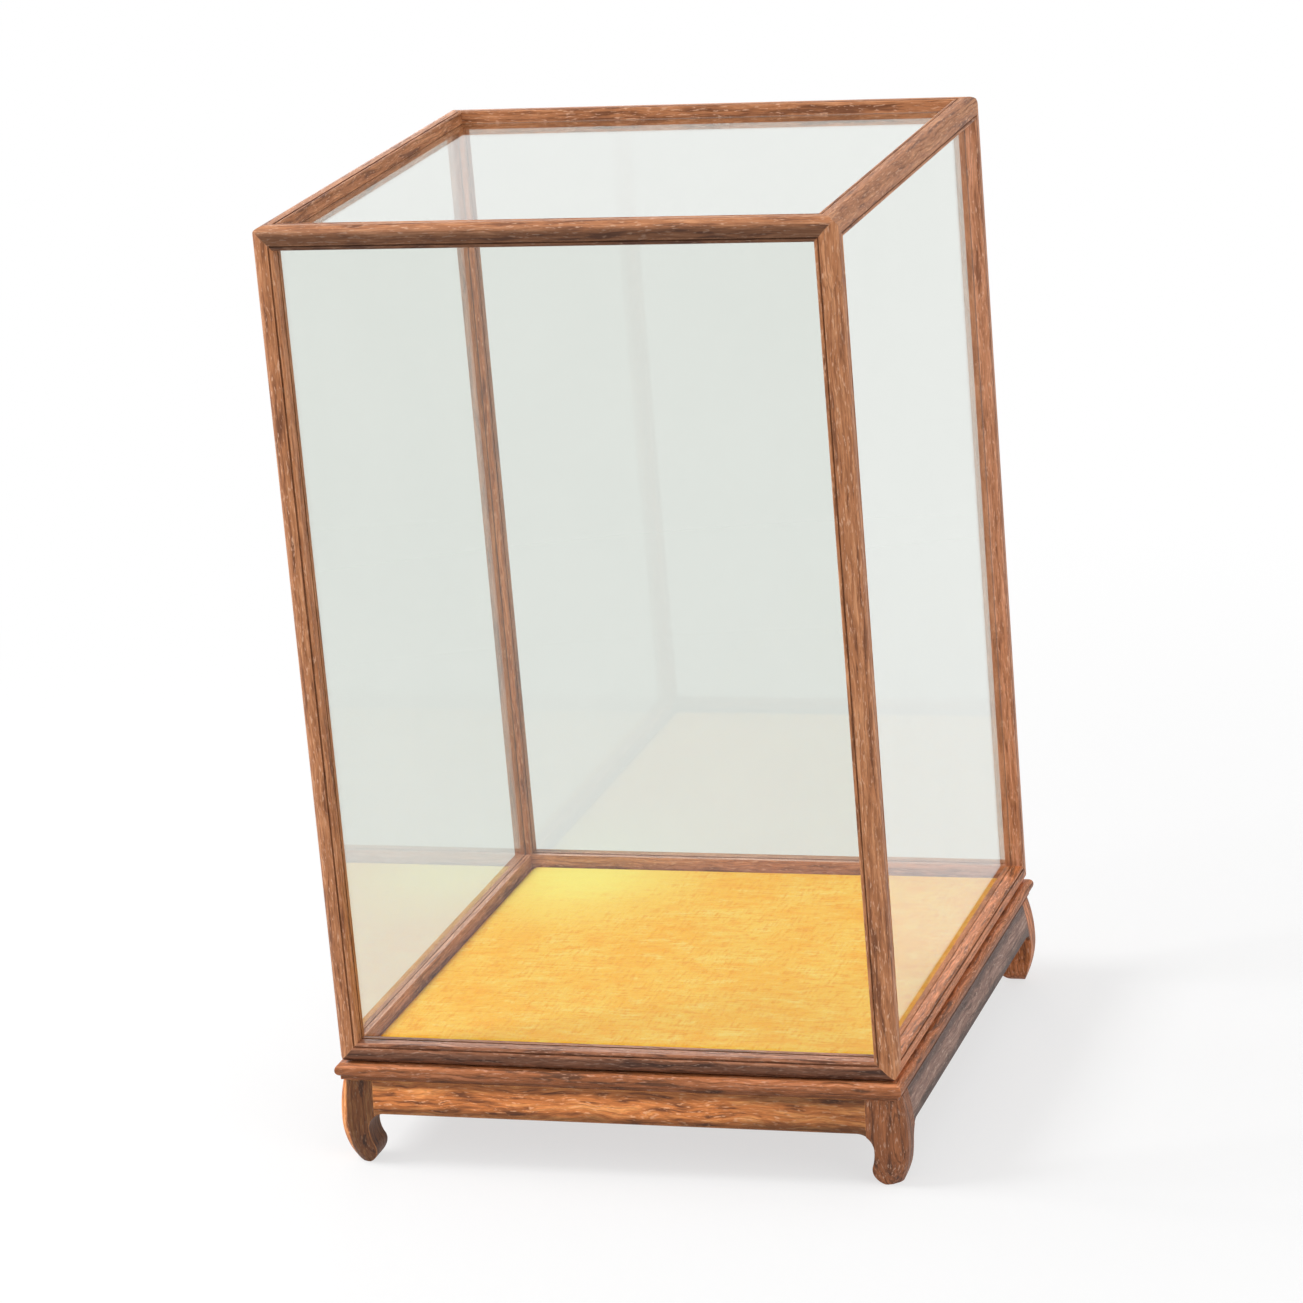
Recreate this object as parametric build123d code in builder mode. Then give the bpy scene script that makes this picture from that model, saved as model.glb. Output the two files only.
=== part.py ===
from build123d import *
from math import sqrt
import os

# A lift-off glazed cover on a low footed stand, for showing a figure or a small figurine.
# The origin is at the middle of the floor under the feet, +Z is up and the front faces -Y.

# Cover: twelve bars of one moulded section, mitred three ways at every corner, and five panes
cover_w = 220.0
cover_d = 220.0
cover_h = 325.0
bar = 8.5
arris_r = 4.4
bead_r = 0.7
quirk_w = 0.5
quirk_taper = 0.15

# Glass, let into grooves in the bars
glass_t = 1.5
glass_setback = 4.8
glass_bite = 1.2
glass_clear = 0.05
glass_end_clear = 0.1

# Hidden joint in each corner of the cover. A pair is a tenon's two faces, and a tip is where
# it ends, all given as distances from the cover's outer faces at that corner.
joint_clear = 0.05
tenon_near = (2.0, 3.8)
tenon_far = (4.5, 6.6)
long_tenon_tip = 2.2
short_tenon_tip = 3.6
rail_tenon_tip = 2.4
rail_tenon_depth = (1.6, 2.8)

# Stand: a mitred top frame round a floor panel, four bowed aprons and four bowed legs.
# Distances inwards are taken from the cover's outer faces, so the frame's nose is outside.
stand_h = 41.0
rim_over = 1.5
rim_t = 6.5
rim_inner = 16.0
rim_nose_r = 2.6
rim_fillet_set = 0.2
rim_tongue = (8.4, 11.2)
rim_tongue_t = 2.0
rim_tongue_drop = 2.0
rim_tongue_tip = 4.0

# Floor panel, with a thin edge that lies in a groove of the top frame
panel_t = 4.6
panel_drop = 0.2
panel_edge_t = 2.4
panel_bite = 3.9
panel_clear = 0.1

# Legs, sawn to one outline from two sides, with heights taken from the floor. Their outer
# ridge is planed to a flat, whose two edges are then eased. A knee joins leg and apron.
leg_w = 13.0
leg_bow = 1.9
leg_bow_h = 17.5
leg_neck_w = 10.3
knee_r = 6.4
hoof_w = 11.5
hoof_h = 8.5
sole = (2.2, 8.0)
leg_flat = 3.4
leg_flat_ease = 1.0
leg_tenon = (3.2, 7.6)
leg_tenon_h = 3.6
leg_blank_over = 1.0

# Aprons between the legs, bowed to the same line
apron_bottom_h = 21.4
apron_back = 6.0
apron_edge = 0.5
apron_tenon = (2.0, 5.0)
apron_tenon_len = 3.8
apron_tenon_shoulder = 2.6

# Display board under its yellow cloth, which fills the foot of the cover
board_t = 3.1
cloth_t = 0.8
cloth_fit = 0.1
cloth_gap = 1.0
cloth_edge_r = 0.7
cloth_corner_r = 2.5

half_w = cover_w / 2
half_d = cover_d / 2
cover_top = stand_h + cover_h
rim_under = stand_h - rim_t
groove_w = glass_t + 2 * glass_clear
groove_mid = glass_setback + glass_t / 2
groove_depth = glass_bite + glass_end_clear
pane_inset = bar - glass_bite

os.makedirs("parts", exist_ok=True)


def save(piece, name):
    piece.part.label = name
    export_step(piece.part, f"parts/{name}.step")


def widened(span, clear=joint_clear):
    return (span[0] - clear, span[1] + clear)


def corner_block(side, dx, dy, z_span, mode=Mode.ADD):
    """Block in the corner of the plan named by side's two signs. dx and dy are the distances
    of its faces from the cover's outer faces on that side, and z_span its two heights."""
    centre = (
        side[0] * (half_w - sum(dx) / 2),
        side[1] * (half_d - sum(dy) / 2),
        sum(z_span) / 2,
    )
    with Locations(centre):
        Box(dx[1] - dx[0], dy[1] - dy[0], abs(z_span[1] - z_span[0]), mode=mode)


def cover_heights(z_side, dz):
    """Heights of two faces given by their distances from the cover's top or bottom."""
    end = cover_top if z_side > 0 else stand_h
    return (end - z_side * dz[0], end - z_side * dz[1])


def split_at(corner, normal):
    split(bisect_by=Plane(corner, z_dir=normal), keep=Keep.TOP)


def mitre_cover(x_side, y_side, z_side, along):
    """Cuts a bar's end on the two planes at 45 degrees that it shares with its neighbours."""
    end = cover_top if z_side > 0 else stand_h
    corner = Vector(x_side * half_w, y_side * half_d, end)
    inward = {
        "x": Vector(-x_side, 0, 0),
        "y": Vector(0, -y_side, 0),
        "z": Vector(0, 0, -z_side),
    }
    for axis in inward:
        if axis != along:
            split_at(corner, inward[along] - inward[axis])


def slot(centre, size):
    with Locations(centre):
        Box(*size, mode=Mode.SUBTRACT)


def bar_section(plane, flat_under=False):
    """Moulded section of every bar, drawn from its sharp outer corner: a broad round arris,
    then on each of the two outer faces a narrow quirk and a bead along the sight line.
    The bars that stand on the stand have no bead underneath."""
    body_end = bar - 2 * bead_r - quirk_w
    with BuildSketch(plane) as section:
        with BuildLine():
            arris = CenterArc((arris_r, arris_r), arris_r, 225, 45)
            body = Line(arris @ 1, (body_end, 0))
            quirk_wall = Line(body @ 1, (body_end + quirk_taper, bead_r))
            quirk_floor = Line(quirk_wall @ 1, (bar - 2 * bead_r, bead_r))
            bead = ThreePointArc(quirk_floor @ 1, (bar - bead_r, 0), (bar, bead_r))
            Line(bead @ 1, (bar, bar))
            mirror(about=Plane((0, 0, 0), z_dir=(1, -1, 0)))
        make_face()
        if flat_under:
            with Locations(((arris_r + bar) / 2, bead_r / 2)):
                Rectangle(bar - arris_r, bead_r)
    return section.sketch


def cover_post():
    """Front left post. At each end a long tenon goes into the front rail and a short one
    into the side rail, under the front rail's own tenon."""
    with BuildPart() as post:
        corner_line = Plane((-half_w, -half_d, stand_h), x_dir=(1, 0, 0), z_dir=(0, 0, 1))
        extrude(bar_section(corner_line), amount=cover_h)
        for z_side in (-1, 1):
            mitre_cover(-1, -1, z_side, along="z")
        mid_z = stand_h + cover_h / 2
        slot_at = bar - groove_depth / 2
        slot((slot_at - half_w, groove_mid - half_d, mid_z), (groove_depth, groove_w, cover_h))
        slot((groove_mid - half_w, slot_at - half_d, mid_z), (groove_w, groove_depth, cover_h))
        for z_side in (-1, 1):
            long_heights = cover_heights(z_side, (long_tenon_tip, bar))
            corner_block((-1, -1), tenon_far, tenon_near, long_heights)
            short_heights = cover_heights(z_side, (short_tenon_tip, bar))
            corner_block((-1, -1), tenon_near, tenon_far, short_heights)
    return post


def front_rail(z_side, inner_slot):
    """Front rail of the cover, at the top or the bottom, with a tenon at each end."""
    with BuildPart() as rail:
        end = cover_top if z_side > 0 else stand_h
        corner_line = Plane((-half_w, -half_d, end), x_dir=(0, 1, 0), z_dir=(-z_side, 0, 0))
        extrude(bar_section(corner_line, flat_under=z_side < 0), amount=-z_side * cover_w)
        for x_side in (-1, 1):
            mitre_cover(x_side, -1, z_side, along="x")
        slot_at = bar - groove_depth / 2
        slot((0, groove_mid - half_d, end - z_side * slot_at), (cover_w, groove_w, groove_depth))
        if inner_slot:
            slot((0, slot_at - half_d, end - z_side * groove_mid),
                 (cover_w, groove_depth, groove_w))
        mortise_heights = cover_heights(z_side, (long_tenon_tip - joint_clear, bar))
        tenon_heights = cover_heights(z_side, rail_tenon_depth)
        for x_side in (-1, 1):
            corner_block((x_side, -1), widened(tenon_far), widened(tenon_near),
                         mortise_heights, mode=Mode.SUBTRACT)
            corner_block((x_side, -1), (rail_tenon_tip, bar), tenon_far, tenon_heights)
    return rail


def side_rail(z_side, inner_slot):
    """Left rail of the cover, at the top or the bottom, mortised for post and front rail."""
    with BuildPart() as rail:
        end = cover_top if z_side > 0 else stand_h
        corner_line = Plane((-half_w, -half_d, end), x_dir=(1, 0, 0), z_dir=(0, z_side, 0))
        extrude(bar_section(corner_line, flat_under=z_side < 0), amount=z_side * cover_d)
        for y_side in (-1, 1):
            mitre_cover(-1, y_side, z_side, along="y")
        slot_at = bar - groove_depth / 2
        slot((groove_mid - half_w, 0, end - z_side * slot_at), (groove_w, cover_d, groove_depth))
        if inner_slot:
            slot((slot_at - half_w, 0, end - z_side * groove_mid),
                 (groove_depth, cover_d, groove_w))
        post_heights = cover_heights(z_side, (short_tenon_tip - joint_clear, bar))
        rail_heights = cover_heights(z_side, widened(rail_tenon_depth))
        for y_side in (-1, 1):
            corner_block((-1, y_side), widened(tenon_near), widened(tenon_far),
                         post_heights, mode=Mode.SUBTRACT)
            corner_block((-1, y_side), (rail_tenon_tip - joint_clear, bar),
                         widened(tenon_far), rail_heights, mode=Mode.SUBTRACT)
    return rail


def mirrored(piece, about):
    with BuildPart() as copy:
        mirror(piece.part, about=about)
    return copy


# Frame of the cover
post_front_left = cover_post()
post_front_right = mirrored(post_front_left, Plane.YZ)
save(post_front_left, "post_front_left")
save(post_front_right, "post_front_right")
save(mirrored(post_front_left, Plane.XZ), "post_back_left")
save(mirrored(post_front_right, Plane.XZ), "post_back_right")

for level, z_side in (("top", 1), ("bottom", -1)):
    front = front_rail(z_side, inner_slot=level == "top")
    left = side_rail(z_side, inner_slot=level == "top")
    save(front, f"{level}_rail_front")
    save(mirrored(front, Plane.XZ), f"{level}_rail_back")
    save(left, f"{level}_rail_left")
    save(mirrored(left, Plane.YZ), f"{level}_rail_right")

# Panes, each in the grooves of the bars round it
pane_w = cover_w - 2 * pane_inset
pane_d = cover_d - 2 * pane_inset
pane_h = cover_h - 2 * pane_inset

with BuildPart() as glass_front:
    with Locations((0, groove_mid - half_d, stand_h + cover_h / 2)):
        Box(pane_w, glass_t, pane_h)

with BuildPart() as glass_left:
    with Locations((groove_mid - half_w, 0, stand_h + cover_h / 2)):
        Box(glass_t, pane_d, pane_h)

with BuildPart() as glass_top:
    with Locations((0, 0, cover_top - groove_mid)):
        Box(pane_w, pane_d, glass_t)

save(glass_front, "glass_front")
save(mirrored(glass_front, Plane.XZ), "glass_back")
save(glass_left, "glass_left")
save(mirrored(glass_left, Plane.YZ), "glass_right")
save(glass_top, "glass_top")


def rim_section(plane):
    """Section of the stand's top frame: a bull nose outside and a small fillet under it."""
    nose_x = rim_nose_r - rim_over
    nose_y = rim_t - rim_nose_r
    fillet_top = nose_y - sqrt(rim_nose_r**2 - (nose_x - rim_fillet_set) ** 2)
    with BuildSketch(plane) as section:
        with BuildLine():
            nose = ThreePointArc((nose_x, rim_t), (-rim_over, nose_y),
                                 (rim_fillet_set, fillet_top))
            Polyline(nose @ 1, (rim_fillet_set, 0), (rim_inner, 0), (rim_inner, rim_t), nose @ 0)
        make_face()
    return section.sketch


rim_tongue_top = stand_h - rim_tongue_drop
rim_tongue_span = (rim_tongue_top - rim_tongue_t, rim_tongue_top)
leg_tenon_span = (rim_under, rim_under + leg_tenon_h)
panel_top = stand_h - panel_drop
panel_edge_span = (panel_top - panel_t, panel_top - panel_t + panel_edge_t)
panel_slot_at = rim_inner - (panel_bite + panel_clear) / 2
panel_slot_z = sum(panel_edge_span) / 2
panel_slot_h = panel_edge_t + 2 * panel_clear


# Top frame of the stand, mitred, with a tongue from the long rails into the side rails
with BuildPart() as rim_front:
    start = Plane((-half_w - rim_over, -half_d, rim_under), x_dir=(0, 1, 0), z_dir=(1, 0, 0))
    extrude(rim_section(start), amount=cover_w + 2 * rim_over)
    slot((0, panel_slot_at - half_d, panel_slot_z),
         (cover_w, panel_bite + panel_clear, panel_slot_h))
    for x_side in (-1, 1):
        split_at((x_side * half_w, -half_d, 0), Vector(-x_side, -1, 0))
        corner_block((x_side, -1), widened(leg_tenon), widened(leg_tenon),
                     widened(leg_tenon_span), mode=Mode.SUBTRACT)
        corner_block((x_side, -1), (rim_tongue_tip, rim_inner), rim_tongue, rim_tongue_span)

with BuildPart() as rim_left:
    start = Plane((-half_w, half_d + rim_over, rim_under), x_dir=(1, 0, 0), z_dir=(0, -1, 0))
    extrude(rim_section(start), amount=cover_d + 2 * rim_over)
    slot((panel_slot_at - half_w, 0, panel_slot_z),
         (panel_bite + panel_clear, cover_d, panel_slot_h))
    for y_side in (-1, 1):
        split_at((-half_w, y_side * half_d, 0), Vector(-1, -y_side, 0))
        corner_block((-1, y_side), widened(leg_tenon), widened(leg_tenon),
                     widened(leg_tenon_span), mode=Mode.SUBTRACT)
        corner_block((-1, y_side), (rim_tongue_tip - joint_clear, rim_inner),
                     widened(rim_tongue), widened(rim_tongue_span), mode=Mode.SUBTRACT)

save(rim_front, "rim_front")
save(mirrored(rim_front, Plane.XZ), "rim_back")
save(rim_left, "rim_left")
save(mirrored(rim_left, Plane.YZ), "rim_right")

# Floor panel, flush in the frame, its thin edge in the frame's groove
with BuildPart() as floor_panel:
    field = 2 * (rim_inner + panel_clear)
    edge = 2 * (rim_inner - panel_bite)
    with BuildSketch(Plane.XY.offset(panel_edge_span[0])):
        Rectangle(cover_w - edge, cover_d - edge)
    extrude(amount=panel_edge_t)
    with BuildSketch(Plane.XY.offset(panel_edge_span[0])):
        Rectangle(cover_w - field, cover_d - field)
    extrude(amount=panel_t)

save(floor_panel, "floor_panel")


leg_neck_h = apron_bottom_h - knee_r
knee_end_h = leg_neck_h + sqrt(knee_r**2 - (knee_r + leg_neck_w - leg_w) ** 2)


def bow_line():
    """Outer line of legs and aprons, from its proudest point up to the top frame."""
    return TangentArc((-leg_bow, leg_bow_h), (0, rim_under), tangent=(0, 1))


def leg_outline(plane):
    """Outline of a leg seen from the front: bowed outside, and inside a knee under the apron,
    a neck and a rounded hoof."""
    neck = (leg_neck_w, leg_neck_h)
    with BuildSketch(plane) as outline:
        with BuildLine():
            bow = bow_line()
            toe = TangentArc(bow @ 0, (sole[0], 0), tangent=(0, -1))
            bottom = Line(toe @ 1, (sole[1], 0))
            knee = TangentArc(neck, (leg_w, knee_end_h), tangent=(0, 1))
            shank = TangentArc(neck, (hoof_w, hoof_h), tangent=(0, -1))
            TangentArc(shank @ 1, bottom @ 1, tangent=shank % 1)
            Polyline(knee @ 1, (leg_w, rim_under), bow @ 1)
        make_face()
    return outline.sketch


def to_outer_corner(shape):
    """Sorting key: the least value lies nearest the stand's front left corner."""
    return shape.center().X + shape.center().Y


apron_tenon_span = (apron_bottom_h + apron_tenon_shoulder, rim_under - apron_tenon_shoulder)
apron_tenon_reach = (leg_w - apron_tenon_len, leg_w)
apron_mortise_reach = (apron_tenon_reach[0] - joint_clear, leg_w)

# Front left leg: the outline is cut through the blank from the front and from the side
with BuildPart() as leg_front_left:
    blank = leg_w + leg_bow + leg_blank_over
    from_front = Plane((-half_w, leg_w - half_d, 0), x_dir=(1, 0, 0), z_dir=(0, -1, 0))
    extrude(leg_outline(from_front), amount=blank)
    from_side = Plane((leg_w - half_w, -half_d, 0), x_dir=(0, 1, 0), z_dir=(1, 0, 0))
    extrude(leg_outline(from_side), amount=-blank, mode=Mode.INTERSECT)
    outer_ridge = leg_front_left.edges().sort_by(to_outer_corner)[:2]
    chamfer(outer_ridge, leg_flat)
    ridge_flats = leg_front_left.faces().sort_by(to_outer_corner)[:2]
    chamfer(ridge_flats.edges().filter_by(Plane.XY, reverse=True), leg_flat_ease)
    corner_block((-1, -1), leg_tenon, leg_tenon, leg_tenon_span)
    corner_block((-1, -1), apron_mortise_reach, widened(apron_tenon),
                 widened(apron_tenon_span), mode=Mode.SUBTRACT)
    corner_block((-1, -1), widened(apron_tenon), apron_mortise_reach,
                 widened(apron_tenon_span), mode=Mode.SUBTRACT)

leg_front_right = mirrored(leg_front_left, Plane.YZ)
save(leg_front_left, "leg_front_left")
save(leg_front_right, "leg_front_right")
save(mirrored(leg_front_left, Plane.XZ), "leg_back_left")
save(mirrored(leg_front_right, Plane.XZ), "leg_back_right")


def apron_section(plane):
    """Section of an apron: bowed like the legs in front and flat behind."""
    with BuildSketch(plane) as section:
        with BuildLine():
            bow = bow_line()
            Polyline(bow @ 0, (apron_back, leg_bow_h), (apron_back, rim_under), bow @ 1)
        make_face()
    return section.sketch


def arch(elevation, span):
    """Opening between two legs, whose round upper corners are the knees."""
    with BuildSketch(elevation) as opening:
        RectangleRounded(span - 2 * leg_neck_w, 2 * apron_bottom_h, knee_r)
    return opening.sketch


def lower_edges(apron, across):
    """The two long edges of an apron's underside, round the knees too."""
    underside = apron.faces().filter_by(lambda face: face.center().Z < apron_bottom_h + apron_edge)
    return underside.edges().filter_by(across, reverse=True)


# Aprons, tenoned into the legs
with BuildPart() as apron_front:
    start = Plane((leg_w - half_w, -half_d, 0), x_dir=(0, 1, 0), z_dir=(1, 0, 0))
    extrude(apron_section(start), amount=cover_w - 2 * leg_w)
    extrude(arch(Plane.XZ, cover_w), amount=cover_d, both=True, mode=Mode.SUBTRACT)
    chamfer(lower_edges(apron_front, across=Axis.Y), apron_edge)
    for x_side in (-1, 1):
        corner_block((x_side, -1), apron_tenon_reach, apron_tenon, apron_tenon_span)

with BuildPart() as apron_left:
    start = Plane((-half_w, half_d - leg_w, 0), x_dir=(1, 0, 0), z_dir=(0, -1, 0))
    extrude(apron_section(start), amount=cover_d - 2 * leg_w)
    extrude(arch(Plane.YZ, cover_d), amount=cover_w, both=True, mode=Mode.SUBTRACT)
    chamfer(lower_edges(apron_left, across=Axis.X), apron_edge)
    for y_side in (-1, 1):
        corner_block((-1, y_side), apron_tenon, apron_tenon_reach, apron_tenon_span)

save(apron_front, "apron_front")
save(mirrored(apron_front, Plane.XZ), "apron_back")
save(apron_left, "apron_left")
save(mirrored(apron_left, Plane.YZ), "apron_right")

# Board that the figure stands on, with the cloth drawn over its top and edges
cloth_inset = 2 * (bar + cloth_gap)
board_inset = cloth_inset + 2 * (cloth_t + cloth_fit)
board_corner_r = cloth_corner_r - cloth_t - cloth_fit

with BuildPart() as display_board:
    with BuildSketch(Plane.XY.offset(stand_h)):
        RectangleRounded(cover_w - board_inset, cover_d - board_inset, board_corner_r)
    extrude(amount=board_t)

with BuildPart() as yellow_cloth:
    hem = stand_h + cloth_fit
    with BuildSketch(Plane.XY.offset(hem)):
        RectangleRounded(cover_w - cloth_inset, cover_d - cloth_inset, cloth_corner_r)
    extrude(amount=board_t + cloth_t)
    fillet(yellow_cloth.faces().sort_by(Axis.Z)[-1].edges(), cloth_edge_r)
    with BuildSketch(Plane.XY.offset(hem)):
        lining = cloth_inset + 2 * cloth_t
        RectangleRounded(cover_w - lining, cover_d - lining, cloth_corner_r - cloth_t)
    extrude(amount=board_t, mode=Mode.SUBTRACT)

save(display_board, "display_board")
save(yellow_cloth, "yellow_cloth")
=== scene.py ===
# %% [markdown]
# # A glazed display case, dressed for its portrait
# The case is a tall cover of slim hardwood bars and glass. It stands on a low stand with four
# bowed feet, and a board drawn over with golden cloth lies inside it. The shapes come ready made
# from the construction model. This script adds the wood, the glass, the cloth and the light.

# %% Load the construction model
import math

import bmesh
import bpy
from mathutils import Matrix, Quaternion, Vector, noise


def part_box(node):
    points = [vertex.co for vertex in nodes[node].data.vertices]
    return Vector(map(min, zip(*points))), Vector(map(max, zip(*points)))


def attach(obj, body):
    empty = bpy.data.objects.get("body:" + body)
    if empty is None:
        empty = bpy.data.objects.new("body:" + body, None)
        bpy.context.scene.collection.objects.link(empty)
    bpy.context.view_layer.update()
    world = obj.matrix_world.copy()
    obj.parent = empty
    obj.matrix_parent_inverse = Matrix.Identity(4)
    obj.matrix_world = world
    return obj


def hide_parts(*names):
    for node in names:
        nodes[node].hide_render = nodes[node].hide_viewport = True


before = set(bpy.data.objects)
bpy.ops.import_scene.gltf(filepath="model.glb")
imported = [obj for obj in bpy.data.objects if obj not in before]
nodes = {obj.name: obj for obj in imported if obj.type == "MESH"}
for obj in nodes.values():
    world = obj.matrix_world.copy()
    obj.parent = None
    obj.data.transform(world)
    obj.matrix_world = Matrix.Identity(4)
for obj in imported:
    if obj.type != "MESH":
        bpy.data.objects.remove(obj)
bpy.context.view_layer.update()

# %% [markdown]
# ## The camera
# The photograph looks down on the case from the front and a little from the right, so the front,
# the right side and the top all show. The camera was also turned about its own axis, which is why
# every post leans to the left at the top. An eye point, a heading and a roll say all of that,
# and they read more plainly than a matrix does.

# %% Camera
HEADING, PITCH, ROLL = math.radians(18.374), math.radians(-16.869), math.radians(-4.906)
LENS, FILM = 131.54, 36.0  # mm
EYE = Vector((0.5496, -1.6762, 0.7076))


def set_camera(eye):
    """A camera at the eye that looks along the heading, tipped by the pitch, and rolled."""
    data = bpy.data.cameras.new("portrait")
    data.lens, data.sensor_width = LENS, FILM
    data.clip_start, data.clip_end = 0.05, 60.0
    camera = bpy.data.objects.new("portrait", data)
    bpy.context.scene.collection.objects.link(camera)
    look = Vector((-math.sin(HEADING) * math.cos(PITCH),
                   math.cos(HEADING) * math.cos(PITCH), math.sin(PITCH)))
    turn = look.to_track_quat("-Z", "Y") @ Quaternion((0, 0, 1), ROLL)
    camera.rotation_mode = "QUATERNION"
    camera.location, camera.rotation_quaternion = eye, turn
    bpy.context.scene.camera = camera
    return camera


camera = set_camera(EYE)
right = camera.rotation_quaternion @ Vector((1, 0, 0))
print("camera's right hand points along", [round(v, 4) for v in right])

# %% [markdown]
# ## Small helpers for node trees
# Every finish here is a tree of nodes. A few helpers keep the cells short. The first adds a node
# and sets its inputs, and the sums, mixes and ramps below are made from it. Another makes an empty
# group with named sockets, the right home for an effect that several materials share, such as
# grain. The last two start a material and put it on a piece.

# %% Node helpers
def add(tree, kind, inputs=(), **settings):
    """Adds a node, sets its settings, and gives each input a value or a link."""
    node = tree.nodes.new("ShaderNode" + kind)
    for name, value in settings.items():
        setattr(node, name, value)
    for key, value in dict(inputs).items():
        if isinstance(value, bpy.types.NodeSocket):
            tree.links.new(value, node.inputs[key])
        else:
            node.inputs[key].default_value = value
    return node


def math_node(tree, operation, a, b=0.0):
    """The result of a sum of one or two values."""
    return add(tree, "Math", {0: a, 1: b}, operation=operation).outputs[0]


def mix_colour(tree, share, a, b, how="MIX"):
    """A mix of two colours."""
    return add(tree, "Mix", {0: share, 6: a, 7: b}, data_type="RGBA", blend_type=how).outputs[2]


def ramp(tree, value, low, high, to_low=0.0, to_high=1.0):
    """The value from low to high, spread smoothly over another range."""
    return add(tree, "MapRange", {0: value, 1: low, 2: high, 3: to_low, 4: to_high},
               interpolation_type="SMOOTHSTEP").outputs[0]


def new_group(name, takes, gives):
    """A node group with its sockets, and its two end nodes."""
    group = bpy.data.node_groups.new(name, "ShaderNodeTree")
    for label, (kind, start) in takes.items():
        socket = group.interface.new_socket(label, in_out="INPUT", socket_type="NodeSocket" + kind)
        if start is not None:
            socket.default_value = start
    for label, kind in gives.items():
        group.interface.new_socket(label, in_out="OUTPUT", socket_type="NodeSocket" + kind)
    take = group.nodes.new("NodeGroupInput").outputs
    return group, take, group.nodes.new("NodeGroupOutput").inputs


def colour(red, green, blue):
    """A colour as a picture shows it, 0 to 255, turned into light."""
    def light(v):
        v /= 255
        return v / 12.92 if v <= 0.04045 else ((v + 0.055) / 1.055) ** 2.4
    return light(red), light(green), light(blue), 1.0


def new_material(name):
    """An empty material with its output and its one Principled shader."""
    material = bpy.data.materials.new(name)
    material.use_nodes = True
    tree = material.node_tree
    tree.nodes.clear()
    shader = add(tree, "BsdfPrincipled")
    output = add(tree, "OutputMaterial", {"Surface": shader.outputs[0]})
    return material, tree, shader, output


def dress(node, material):
    """Puts a material on a CAD node in place of what it had."""
    nodes[node].data.materials.clear()
    nodes[node].data.materials.append(material)


print("helpers ready")

# %% [markdown]
# ## Floor, sky and lamps
# The case stands on plain white paper in an even, soft light. White that comes from strong lamps
# would bleach the cloth, so the paper and the sky glow at strength one only for the camera, for
# mirrors and for what is seen through glass. Near the feet about a third of the paper is left
# plain, and there the real shadow shows. The lamps are hidden from rays that pass through glass,
# or one would show behind the panes as a white block.

# %% Sky
def seen(tree):
    """One where the ray comes from the camera, from a mirror or through glass."""
    path = add(tree, "LightPath").outputs
    both = math_node(tree, "MAXIMUM", path["Is Camera Ray"], path["Is Glossy Ray"])
    return math_node(tree, "MAXIMUM", both, path["Is Transmission Ray"])


SKY = 0.58
world = bpy.data.worlds.new("studio")
bpy.context.scene.world = world
world.use_nodes = True
sky = world.node_tree
sky.nodes.clear()
strength = math_node(sky, "MULTIPLY_ADD", seen(sky), 1 - SKY)
strength.node.inputs[2].default_value = SKY
back = add(sky, "Background", {"Color": (1, 1, 1, 1), "Strength": strength})
add(sky, "OutputWorld", {"Surface": back.outputs[0]})
print("sky lights the case at", SKY)

# %% Floor
FLOOR_R, SHADOW_R, PLAIN_SHARE = 8.0, (0.22, 0.8), 0.35
PAPER = (0.86, 0.86, 0.86, 1)
material, tree, paper, output = new_material("white_paper")
paper.inputs["Base Color"].default_value = PAPER
paper.inputs["Roughness"].default_value = 1.0
paper.inputs["Specular IOR Level"].default_value = 0.0
place = add(tree, "TexCoord").outputs["Object"]
far = add(tree, "VectorMath", {0: place}, operation="LENGTH").outputs["Value"]
glow_share = ramp(tree, far, *SHADOW_R, 1 - PLAIN_SHARE, 1.0)
glow = add(tree, "Emission", {"Color": (1, 1, 1, 1), "Strength": 1.0})
share = math_node(tree, "MULTIPLY", seen(tree), glow_share)
top = add(tree, "MixShader", {0: share, 1: paper.outputs[0], 2: glow.outputs[0]})
clear = add(tree, "BsdfTransparent")
below = add(tree, "NewGeometry").outputs["Backfacing"]
sheet = add(tree, "MixShader", {0: below, 1: top.outputs[0], 2: clear.outputs[0]})
tree.links.new(sheet.outputs[0], output.inputs["Surface"])
bm = bmesh.new()
bmesh.ops.create_circle(bm, cap_ends=True, radius=FLOOR_R, segments=64)
mesh = bpy.data.meshes.new("floor")
bm.to_mesh(mesh)
bm.free()
mesh.materials.append(material)
floor = bpy.data.objects.new("floor", mesh)
bpy.context.scene.collection.objects.link(floor)
print("floor normal", mesh.polygons[0].normal)

# %% Lamps
AIM = Vector((0, 0, 0.15))


def softbox(name, place, size, power):
    """A square lamp that faces the case."""
    data = bpy.data.lights.new(name, "AREA")
    data.shape, data.size, data.energy = "SQUARE", size, power
    lamp = bpy.data.objects.new(name, data)
    bpy.context.scene.collection.objects.link(lamp)
    lamp.location = place
    lamp.visible_transmission = False
    lamp.rotation_mode = "QUATERNION"
    lamp.rotation_quaternion = (AIM - Vector(place)).to_track_quat("-Z", "Y")
    return lamp


lamps = [
    softbox("key_left", (-1.4, -0.3, 1.6), 0.9, 30.5),
    softbox("fill_right", (1.5, -1.2, 1.1), 1.2, 9),
    softbox("glint_back", (-0.72, 1.8, 0.36), 0.38, 4.5),
]
print(len(lamps), "softboxes")

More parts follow.
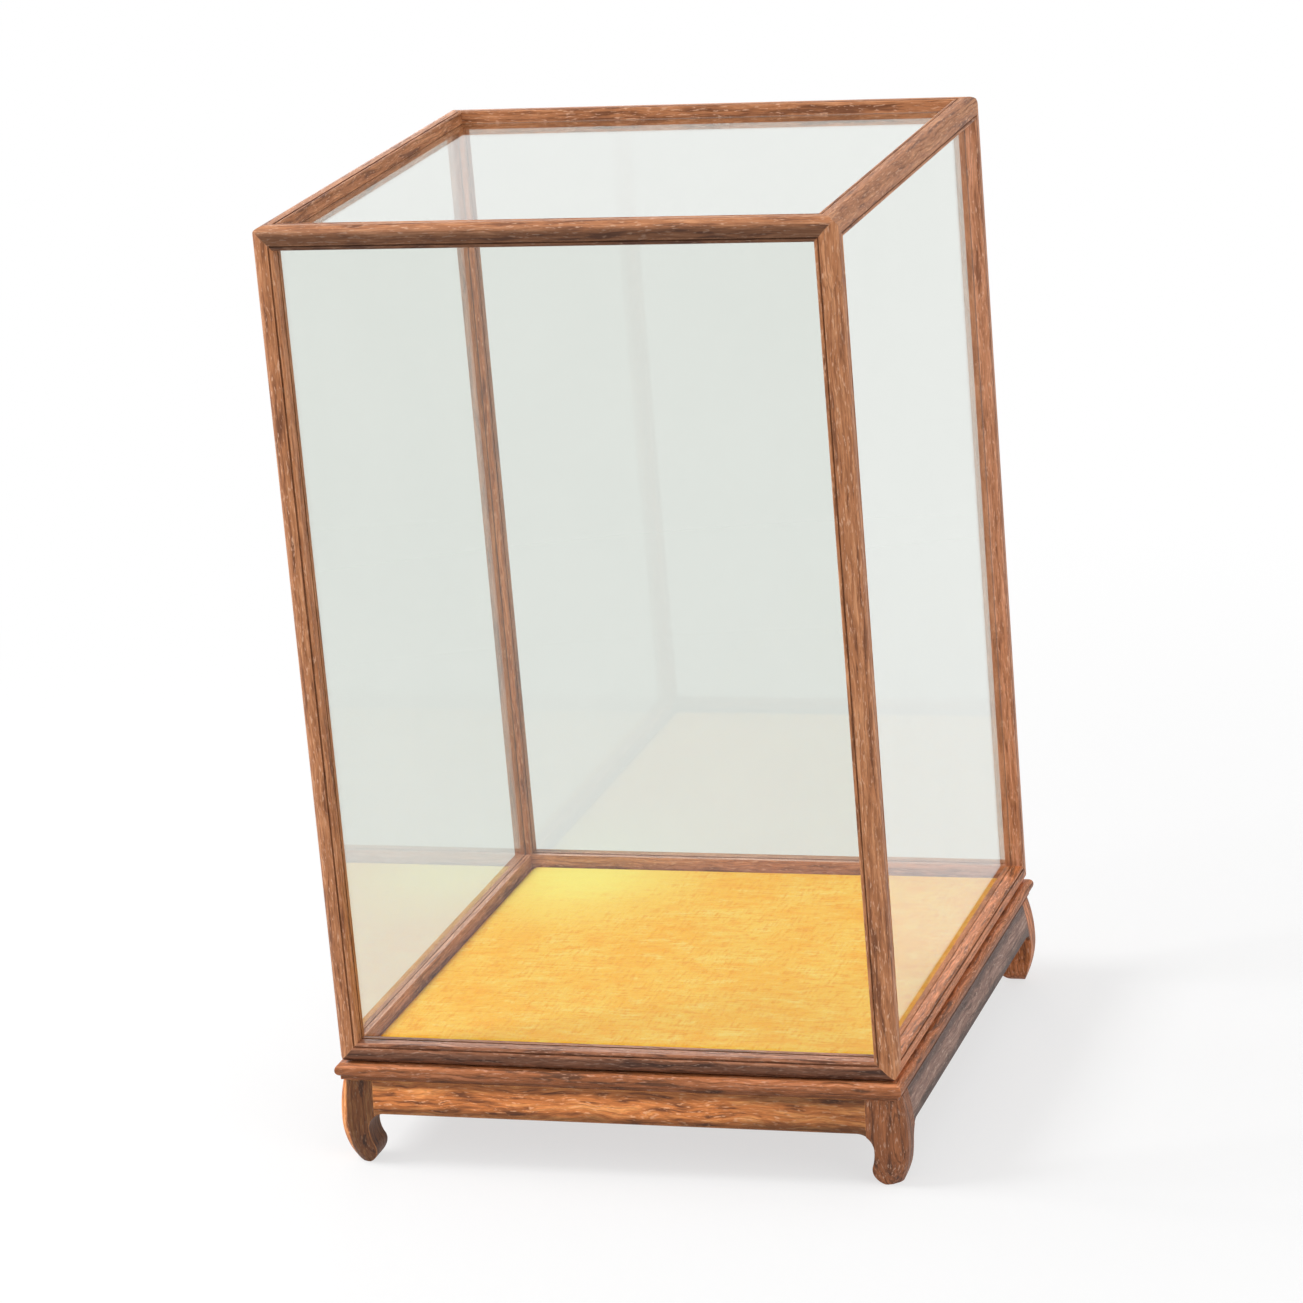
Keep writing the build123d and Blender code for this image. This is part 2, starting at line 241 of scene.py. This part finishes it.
# %% [markdown]
# ## Wood grain
# The bars are sawn from a reddish hardwood whose growth layers show as jagged dark lines and
# pale flecks along the length. Real grain is one pattern cut lengthwise, so the group stretches
# noise along the first axis: slow bands for the light and dark layers, thin bent lines for the
# late wood, and short dashes for the open pores. Pale specks stand for
# pores that hold old polish. Lines and pores also sink the surface a little.

# %% Grain group
STREAK, FLECK, FIBRE, PORE, SPECK = 0.3, 0.75, 2.6, 1.9, 1.5  # how fine each noise is
BEND, BEND_REACH = (0.035, 0.06), 9.0  # a slow wander, and how far it moves the grain in mm
JAG = 1.6
RING_CUT = (1.0, 2.1, 3.3)  # how the growth rings lie across the stick
FIBRE_SHADES = (0.7, 0.68, 0.66, 1), (1.22, 1.24, 1.26, 1)
BARE_WOOD = (1.0, 0.86, 0.7, 1)
SINK = -0.8  # lines and pores lie lower than the fibre


def stretched(tree, place, along, across=1.0):
    """The place with its first axis drawn out, so that a pattern on it runs with the grain."""
    return add(tree, "VectorMath", {0: place, 1: (along, across, across)},
               operation="MULTIPLY").outputs[0]


def noise_value(tree, place, scale, detail=3.0, rough=0.55):
    """A noise from 0 to 1 at the place."""
    return add(tree, "TexNoise", {"Vector": place, "Scale": scale, "Detail": detail,
                                  "Roughness": rough}).outputs[0]


def make_grain():
    """Grain in millimetres, along the first axis of the place it is given."""
    group, take, give = new_group(
        "Wood grain",
        {"Place": ("Vector", None), "Light": ("Color", (0.6, 0.3, 0.15, 1)),
         "Middle": ("Color", (0.4, 0.2, 0.1, 1)), "Dark": ("Color", (0.1, 0.05, 0.03, 1)),
         "Figure": ("Float", 0.5), "Lines": ("Float", 0.6), "Spacing": ("Float", 1.0)},
        {"Color": "Color", "Roughness": "Float", "Height": "Float"})
    bend = add(group, "TexNoise", {"Vector": stretched(group, take["Place"], *BEND),
                                   "Scale": 1.0, "Detail": 2.0}).outputs["Color"]
    bend = add(group, "VectorMath", {0: bend, 1: (0.5, 0.5, 0.5)}, operation="SUBTRACT").outputs[0]
    reach = math_node(group, "MULTIPLY", take["Figure"], BEND_REACH)
    bend = add(group, "VectorMath", {0: bend, "Scale": reach}, operation="SCALE").outputs[0]
    place = add(group, "VectorMath", {0: take["Place"], 1: bend}, operation="ADD").outputs[0]
    place = add(group, "VectorMath", {0: place, "Scale": take["Spacing"]},
                operation="SCALE").outputs[0]

    streak = noise_value(group, stretched(group, place, 0.05), STREAK, 3.0, 0.6)
    fleck = noise_value(group, stretched(group, place, 0.09), FLECK, 3.0, 0.6)
    fibre = noise_value(group, stretched(group, place, 0.05), FIBRE, 3.0, 0.65)
    tone = math_node(group, "ADD", math_node(group, "MULTIPLY", streak, 0.5),
                     math_node(group, "MULTIPLY", fleck, 0.5))
    layer = mix_colour(group, ramp(group, tone, 0.38, 0.5), take["Dark"], take["Middle"])
    layer = mix_colour(group, ramp(group, tone, 0.49, 0.62), layer, take["Light"])
    layer = mix_colour(group, 0.6, layer, mix_colour(
        group, ramp(group, fibre, 0.3, 0.7), *FIBRE_SHADES), "MULTIPLY")

    jagged = add(group, "TexNoise", {"Vector": stretched(group, place, 0.22), "Scale": 0.5,
                                     "Detail": 3.0, "Roughness": 0.6}).outputs["Color"]
    jagged = add(group, "VectorMath", {0: jagged, "Scale": JAG}, operation="SCALE").outputs[0]
    lined = add(group, "VectorMath", {0: place, 1: jagged}, operation="ADD").outputs[0]
    cut = add(group, "VectorMath", {0: stretched(group, lined, 0.02), 1: RING_CUT},
              operation="DOT_PRODUCT").outputs["Value"]
    wave = math_node(group, "SINE", cut)
    line = ramp(group, wave, 0.5, 1.0)
    patch = noise_value(group, stretched(group, place, 0.05), 0.3, 2.0)
    line = math_node(group, "MULTIPLY", line, ramp(group, patch, 0.45, 0.62))
    pore = noise_value(group, stretched(group, place, 0.16), PORE, 1.0, 0.5)
    pore = ramp(group, pore, 0.6, 0.72)
    mark = math_node(group, "MAXIMUM", line, math_node(group, "MULTIPLY", pore, 0.75))
    mark = math_node(group, "MULTIPLY", mark, take["Lines"])
    shade = mix_colour(group, mark, layer, take["Dark"])
    speck = noise_value(group, stretched(group, place, 0.2), SPECK, 3.0)
    speck = ramp(group, speck, 0.56, 0.7, 0.0, 0.8)
    pale = mix_colour(group, 0.22, take["Light"], BARE_WOOD)
    shade = mix_colour(group, speck, shade, pale)
    group.links.new(shade, give["Color"])
    group.links.new(ramp(group, mark, 0.0, 1.0, 0.5, 0.72), give["Roughness"])
    height = math_node(group, "MULTIPLY_ADD", mark, SINK)
    group.links.new(fibre, height.node.inputs[2])
    group.links.new(height, give["Height"])
    return group


grain = make_grain()
print("grain group has", len(grain.nodes), "nodes")

# %% [markdown]
# ## Wear, highlight and shade on the edges
# Handling rubs the arrises pale, and their paler colour is also a painted highlight along them.
# The grooves get painted shade. A bevelled normal differs from the true one only near an edge,
# which finds the arrises, and a short ambient occlusion ray finds the grooves. Both work on any
# mesh, so nothing has to be painted by hand.

# %% Wear and painted shade group
GROOVE = 0.0022  # m, how near a surface has to be to close a groove, where shade is painted


def make_rub_and_shade():
    """Two masks of the surface: its edges, worn and painted as a highlight, and its closed-in
    grooves, painted as shade.
    """
    group, take, give = new_group(
        "Edge rub, highlight and shade", {"Place": ("Vector", None), "Reach": ("Float", 0.0006)},
        {"Edge": "Float", "Groove": "Float"})
    soft = add(group, "Bevel", {"Radius": take["Reach"]}, samples=4).outputs[0]
    true = add(group, "NewGeometry").outputs["Normal"]
    flat = add(group, "VectorMath", {0: soft, 1: true}, operation="DOT_PRODUCT").outputs["Value"]
    bare = ramp(group, flat, 0.995, 0.86)
    broken = noise_value(group, stretched(group, take["Place"], 0.15), 0.5, 3.0)
    group.links.new(math_node(group, "MULTIPLY", bare, ramp(group, broken, 0.35, 0.62)),
                    give["Edge"])
    # grooves that nearby surfaces close in, for painted shade
    closed = add(group, "AmbientOcclusion", {"Distance": GROOVE}, samples=6,
                 only_local=True).outputs["AO"]
    group.links.new(ramp(group, closed, 0.75, 0.3), give["Groove"])
    return group


rub_and_shade = make_rub_and_shade()
print("wear group has", len(rub_and_shade.nodes), "nodes")

# %% [markdown]
# ## A wood for each bar
# No two bars come from the same stick, so each one gets its own cut of the grain, its own tones
# and its own run of the figure. The mapping turns the pattern so that it follows the bar, and
# moves it far along, so that no neighbours match at a mitre. Zones darken a bar with painted
# shade: on the lower part of the front top and bottom rails, on and under the rims, along the
# aprons' top and bottom edges, and on the front face of the front left foot. One more zone
# darkens the right end of the front apron, where its heartwood shows. Some tones are painted
# light and shade too: the darker front sill, the duller side and back aprons, and the gold left
# face of the front left foot.

# %% Wood materials
MM = 1000.0
STRIDE = (613.0, 37.3, 91.7)  # mm between one piece's cut of the grain and the next one's
# tint of the zones: painted shade, and heartwood at the front apron's end
SHADE_AND_HEARTWOOD_TINT = (0.08, 0.085, 0.11, 1)
TURNS = {"x": (0, 0, 0), "y": (0, 0, -math.pi / 2), "z": (0, math.pi / 2, 0)}
TONES = {  # light, middle and dark layers
    "cover": (colour(206, 144, 101), colour(178, 116, 75), colour(122, 74, 46)),
    "pale": (colour(214, 154, 120), colour(188, 128, 92), colour(136, 86, 60)),
    # the front sill: the cover wood darker, as painted shade
    "sill_in_shade": (colour(192, 130, 96), colour(164, 106, 74), colour(98, 60, 42)),
    "rim": (colour(222, 142, 95), colour(186, 112, 66), colour(114, 70, 44)),
    "gold": (colour(250, 168, 98), colour(214, 129, 69), colour(124, 72, 42)),
    # the side and back aprons: the apron wood duller and greyer, as painted shade
    "apron_in_shade": (colour(168, 134, 118), colour(140, 106, 92), colour(98, 68, 54)),
    "foot": (colour(164, 102, 64), colour(140, 84, 50), colour(92, 54, 33)),
}


def in_mm(tree):
    """The place on the object, in millimetres."""
    place = add(tree, "TexCoord").outputs["Object"]
    return add(tree, "VectorMath", {0: place, "Scale": MM}, operation="SCALE").outputs[0]


def shade_and_heartwood_zone(tree, along, axis, start, end, depth, ragged=5.0):
    """How far a zone darkens the piece: from start to end, in mm on an axis, ragged. Most zones
    are painted shade; the front apron's end is heartwood.
    """
    wander = noise_value(tree, stretched(tree, along, 0.2), 0.35, 3.0)
    wander = math_node(tree, "MULTIPLY", wander, ragged)
    at = add(tree, "SeparateXYZ", {0: in_mm(tree)}).outputs["xyz".index(axis)]
    return ramp(tree, math_node(tree, "ADD", at, wander), start + ragged / 2, end + ragged / 2,
                0.0, depth)


def wood(node, axis, tone, figure=0.4, lines=0.6, spacing=1.0, zones=()):
    """Gives a CAD node a wood of its own, with its grain along an axis, darker in the zones."""
    number = sorted(nodes).index(node)
    material, tree, shader, _ = new_material("wood_" + node)
    place = add(tree, "TexCoord").outputs["Object"]
    place = add(tree, "Mapping", {"Vector": place, "Scale": (MM, MM, MM), "Rotation": TURNS[axis],
                                  "Location": [step * number for step in STRIDE]})
    light, middle, dark = TONES[tone]
    cut = add(tree, "Group", node_tree=grain).inputs
    for name, value in {"Light": light, "Middle": middle, "Dark": dark, "Figure": figure,
                        "Lines": lines, "Spacing": spacing}.items():
        cut[name].default_value = value
    tree.links.new(place.outputs[0], cut["Place"])
    cut = cut["Place"].node.outputs
    worn_and_shaded = add(tree, "Group", {"Place": place.outputs[0]}, node_tree=rub_and_shade).outputs
    layers = cut["Color"]
    # zones: painted shade, and heartwood at the front apron's end
    for zone in zones:
        layers = mix_colour(tree, shade_and_heartwood_zone(tree, place.outputs[0], *zone), layers, SHADE_AND_HEARTWOOD_TINT,
                            "MULTIPLY")
    # arrises paled by wear and by a painted highlight
    pale = mix_colour(tree, math_node(tree, "MULTIPLY", worn_and_shaded["Edge"], 0.5), layers, light)
    # painted shade in the grooves
    shade = mix_colour(tree, math_node(tree, "MULTIPLY", worn_and_shaded["Groove"], 0.7), pale,
                       tuple(v * 0.4 for v in dark[:3]) + (1,))
    tree.links.new(shade, shader.inputs["Base Color"])
    tree.links.new(cut["Roughness"], shader.inputs["Roughness"])
    bump = add(tree, "Bump", {"Strength": 0.5, "Distance": 0.0002, "Height": cut["Height"]})
    tree.links.new(bump.outputs[0], shader.inputs["Normal"])
    shader.inputs["Specular IOR Level"].default_value = 0.28
    dress(node, material)
    return material


AXES = {"front": "x", "back": "x", "left": "y", "right": "y"}
SILL_TONES = {"front": "sill_in_shade", "left": "pale", "back": "pale", "right": "rim"}
# painted shade on the lower front rails, on and under the rims, and along the aprons' edges
LINTEL_SHADE_ZONES = [("z", 365.2, 362.4, 0.72, 1.5)]
SILL_SHADE_ZONES = [("z", 47.4, 46.0, 0.62, 1.2)]
RIM_SHADE_ZONES = [("z", 40.4, 39.2, 0.35, 1.0), ("z", 36.8, 35.2, 0.45, 2.0)]
APRON_SHADE_ZONES = [("z", 26.2, 22.6, 0.72), ("z", 30.0, 33.4, 0.62)]
APRON_END = [("x", 20.0, 95.0, 0.5, 30.0)]
# painted shade on the front left foot's front face
LEG_SHADE_ZONES = [("x", -108.7, -107.4, 0.86, 1.5)]
made = []
for side, axis in AXES.items():
    front = side == "front"
    made.append(wood(f"top_rail_{side}", axis, "cover", 0.3, 0.5, 1.0,
                     LINTEL_SHADE_ZONES if front else ()))
    made.append(wood(f"bottom_rail_{side}", axis, SILL_TONES[side], 0.5, 0.6, 1.0,
                     SILL_SHADE_ZONES if front else ()))
    made.append(wood(f"rim_{side}", axis, "rim", 0.5, 0.6, 1.0, RIM_SHADE_ZONES))
    # the front apron is gold; the others take the tone in painted shade
    made.append(wood(f"apron_{side}", axis, "gold" if front else "apron_in_shade", 0.8, 0.45, 0.9,
                     APRON_SHADE_ZONES + (APRON_END if front else [])))
for end in ("front", "back"):
    for side in ("left", "right"):
        post_tone = "pale" if (end, side) == ("back", "right") else "cover"
        made.append(wood(f"post_{end}_{side}", "z", post_tone, 0.35, 0.55))
# the gold tone here is painted light on this foot's left face
made.append(wood("leg_front_left", "z", "gold", 0.5, 0.5, 1.0, LEG_SHADE_ZONES))
made.append(wood("leg_front_right", "z", "foot", 0.4, 0.7))
made.append(wood("leg_back_right", "z", "rim", 0.5, 0.6))
made.append(wood("leg_back_left", "z", "foot", 0.5, 0.6))
made.append(wood("floor_panel", "x", "cover", 1.0, 0.5, 0.5))
print(len(made), "pieces of wood")

# %% [markdown]
# ## Glass
# The panes are thin float glass with a pale grey-green cast. They have real thickness, so the
# shader refracts and mirrors as glass does, and the cloth shows again in the left and the back
# pane. Light from the lamps takes the transparent side of the mix, because rays that a lamp sends
# through refracting glass would be lost, and the cloth would lie in the dark.

# %% Glass material
GLASS_IOR = 1.52  # float glass
GLASS_TINTS = (0.835, 0.857, 0.83, 1), (0.865, 0.883, 0.857, 1)


def make_glass():
    """Clear glass that bends and mirrors what is seen, and lets the lamps' light through."""
    material, tree, shader, output = new_material("clear_glass")
    place = add(tree, "TexCoord").outputs["Object"]
    haze = noise_value(tree, place, 18.0, 4.0)
    tint = mix_colour(tree, haze, *GLASS_TINTS)
    tree.links.new(tint, shader.inputs["Base Color"])
    shader.inputs["Roughness"].default_value = 0.0
    shader.inputs["Transmission Weight"].default_value = 1.0
    shader.inputs["IOR"].default_value = GLASS_IOR
    path = add(tree, "LightPath").outputs
    free = math_node(tree, "MAXIMUM", path["Is Shadow Ray"], path["Is Diffuse Ray"])
    clear = add(tree, "BsdfTransparent")
    both = add(tree, "MixShader", {0: free, 1: shader.outputs[0], 2: clear.outputs[0]})
    tree.links.new(both.outputs[0], output.inputs["Surface"])
    return material


glass = make_glass()
panes = [name for name in nodes if name.startswith("glass_")]
for name in panes:
    dress(name, glass)
print(len(panes), "panes")

# %% [markdown]
# ## The board
# The board under the cloth is plywood, of which only the edge would show when the cloth is off.
# Its layers lie flat, so a slow wave up the edge makes them, and the faces get long pale grain.

# %% Board material
PLY_PITCH = 6.1  # radians of the slow wave per mm


def make_plywood():
    """Thin layers up the edge and pale grain on the faces."""
    material, tree, shader, _ = new_material("plywood")
    place = in_mm(tree)
    cut = add(tree, "Group", {
        "Place": place, "Light": colour(226, 200, 160), "Middle": colour(208, 176, 132),
        "Dark": colour(168, 132, 92), "Figure": 0.8, "Lines": 0.3, "Spacing": 0.6},
        node_tree=grain).outputs
    height = add(tree, "SeparateXYZ", {0: place}).outputs[2]
    layer = ramp(tree, math_node(tree, "SINE", math_node(tree, "MULTIPLY", height, PLY_PITCH)),
                 -0.2, 0.2, 0.72, 1.0)
    shade = mix_colour(tree, 1.0, cut["Color"], layer, "MULTIPLY")
    tree.links.new(shade, shader.inputs["Base Color"])
    tree.links.new(cut["Roughness"], shader.inputs["Roughness"])
    bump = add(tree, "Bump", {"Strength": 0.3, "Distance": 0.0002, "Height": cut["Height"]})
    tree.links.new(bump.outputs[0], shader.inputs["Normal"])
    return material


dress("display_board", make_plywood())
print("board done")

# %% [markdown]
# ## The golden cloth
# A square of satin is drawn over the board and turned down at its four edges, where it is glued.
# The real sheet is flat, so it starts as a fine grid, and its rim is bent down over the board's
# edge. A low swell lifts it in places, and near the edges it puckers where it was pulled.

# %% Cloth shape
CLOTH_T = 0.0007
low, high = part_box("yellow_cloth")
half = (high.x - low.x) / 2
drop = high.z - low.z
CELLS, ROUND, CORNER = 140, 0.0012, 0.0025
SWELL, PUCKER = (22, 0.00018), (150, 0.00012)  # how fine, and how high in metres


def fold_down(u, v):
    """Where a point of the flat sheet lies once it is drawn over the board."""
    top = half - CLOTH_T / 2
    reach = max(abs(u), abs(v))
    flat = top - ROUND
    over = max(0.0, reach - flat)
    angle = min(over / ROUND, math.pi / 2)
    out = flat + ROUND * math.sin(angle)
    down = ROUND * (1 - math.cos(angle)) + max(0.0, over - ROUND * math.pi / 2)
    scale = out / reach if over > 0 else 1.0
    x, y = u * scale, v * scale
    corner = flat + ROUND - CORNER
    if abs(x) > corner and abs(y) > corner:
        dx, dy = abs(x) - corner, abs(y) - corner
        square, away = max(dx, dy), math.hypot(dx, dy)
        pull = square / away
        x = math.copysign(corner + dx * pull, x)
        y = math.copysign(corner + dy * pull, y)
    return Vector((x, y, high.z - CLOTH_T / 2 - down))


FLAT = 2 * (half - CLOTH_T / 2 - ROUND + ROUND * math.pi / 2 + drop - ROUND - CLOTH_T / 2)
bm = bmesh.new()
bmesh.ops.create_grid(bm, x_segments=CELLS, y_segments=CELLS, size=FLAT / 2)
uv = bm.loops.layers.uv.new("weave")
for face in bm.faces:
    for loop in face.loops:
        loop[uv].uv = (loop.vert.co.x / FLAT + 0.5, loop.vert.co.y / FLAT + 0.5)
for vert in bm.verts:
    u, v = vert.co.x, vert.co.y
    rim = (max(abs(u), abs(v)) / (FLAT / 2)) ** 14
    swell = noise.noise(Vector((u * SWELL[0], v * SWELL[0], 3.1))) * SWELL[1]
    pucker = noise.noise(Vector((u * PUCKER[0], v * PUCKER[0], 7.7))) * PUCKER[1]
    pucker *= 0.25 + rim * 2
    vert.co = fold_down(u, v)
    if rim < 0.5:
        vert.co.z += swell * (1 - 2 * rim) + pucker
mesh = bpy.data.meshes.new("golden_cloth")
bm.to_mesh(mesh)
bm.free()
for polygon in mesh.polygons:
    polygon.use_smooth = True
cloth = bpy.data.objects.new("golden_cloth", mesh)
bpy.context.scene.collection.objects.link(cloth)
thick = cloth.modifiers.new("thickness", "SOLIDIFY")
thick.thickness, thick.offset = CLOTH_T, 0.0
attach(cloth, "stand")
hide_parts("yellow_cloth")
print("cloth cut", round(FLAT, 4), "m square,", len(mesh.vertices), "points")

# %% [markdown]
# ## Satin
# The cloth is a golden satin. Its threads are finer than a pixel, so they show as a soft mottling
# in two directions. A painted highlight lies on the back left corner as a lemon patch that fades
# out, and lighter and darker streaks paint the light and shade of folds. A low camera would see a
# white mirror layer all over the sheet, so the shader gets almost none, and the threads go into a
# bump on the sheet's own map.

# %% Cloth material
HIGHLIGHT_CENTRE = (26.0, 206.0, 0.0)  # where the painted highlight centres, in mm from the sheet's front left corner
SATIN = {"deep": colour(255, 192, 60), "bright": colour(255, 206, 82),
         # the lighter and darker fold colours are painted light and shade
         "fold_highlight": colour(255, 218, 110), "fold_shade": colour(255, 176, 46),
         "thread": colour(248, 168, 40), "lemon": colour(255, 240, 124)}
SATIN_IOR = 1.06  # next to no mirror layer


def make_satin():
    """Golden mottling that follows the sheet, with painted fold light and shade, and a painted
    highlight laid over the back left corner.
    """
    material, tree, shader, _ = new_material("golden_satin")
    place = add(tree, "UVMap", uv_map="weave").outputs[0]
    place = add(tree, "VectorMath", {0: place, "Scale": FLAT * MM}, operation="SCALE").outputs[0]
    warp = noise_value(tree, stretched(tree, place, 0.15), 0.7, 3.0, 0.65)
    weft = noise_value(tree, stretched(tree, place, 1.0, 0.15), 0.7, 3.0, 0.65)
    cloud = noise_value(tree, place, 0.03, 2.0, 0.5)
    # streaks where folds would lie, for painted light and shade
    fold_light_and_shade = noise_value(tree, stretched(tree, place, 0.5), 0.12, 6.0, 0.78)
    threads = math_node(tree, "ADD", warp, weft)
    shade = mix_colour(tree, ramp(tree, cloud, 0.3, 0.7), SATIN["deep"], SATIN["bright"])
    # painted light on the folds' raised sides, painted shade in their hollows
    shade = mix_colour(tree, ramp(tree, fold_light_and_shade, 0.51, 0.64, 0.0, 0.8), shade, SATIN["fold_highlight"])
    shade = mix_colour(tree, ramp(tree, fold_light_and_shade, 0.5, 0.38, 0.0, 0.7), shade, SATIN["fold_shade"])
    shade = mix_colour(tree, ramp(tree, threads, 0.8, 1.02, 0.8, 0.0), shade, SATIN["thread"])
    # painted highlight: a lemon patch on the back left corner
    away = add(tree, "VectorMath", {0: place, 1: HIGHLIGHT_CENTRE}, operation="SUBTRACT").outputs[0]
    away = add(tree, "VectorMath", {0: stretched(tree, away, 1.0, 0.75)},
               operation="LENGTH").outputs["Value"]
    ragged = math_node(tree, "ADD", away, math_node(tree, "MULTIPLY", fold_light_and_shade, 60.0))
    shade = mix_colour(tree, ramp(tree, ragged, 100.0, 34.0), shade, SATIN["lemon"])
    tree.links.new(shade, shader.inputs["Base Color"])
    tree.links.new(ramp(tree, threads, 0.7, 1.3, 0.4, 0.5), shader.inputs["Roughness"])
    shader.inputs["IOR"].default_value = SATIN_IOR
    shader.inputs["Specular IOR Level"].default_value = 0.0
    shader.inputs["Sheen Weight"].default_value = 0.02
    shader.inputs["Sheen Roughness"].default_value = 0.4
    shader.inputs["Sheen Tint"].default_value = (1.0, 0.93, 0.6, 1)
    ribs = add(tree, "TexWave", {"Vector": place, "Scale": 1.1, "Distortion": 1.0},
               bands_direction="Y").outputs[1]
    height = math_node(tree, "ADD", threads, math_node(tree, "MULTIPLY", ribs, 0.4))
    bump = add(tree, "Bump", {"Strength": 0.35, "Distance": 0.0002, "Height": height})
    tree.links.new(bump.outputs[0], shader.inputs["Normal"])
    return material


cloth.data.materials.append(make_satin())
print("satin done")

# %% [markdown]
# ## Finish
# The picture's colours stay as they are written, so the view transform is the plain one.

bpy.context.scene.view_settings.view_transform = "Standard"
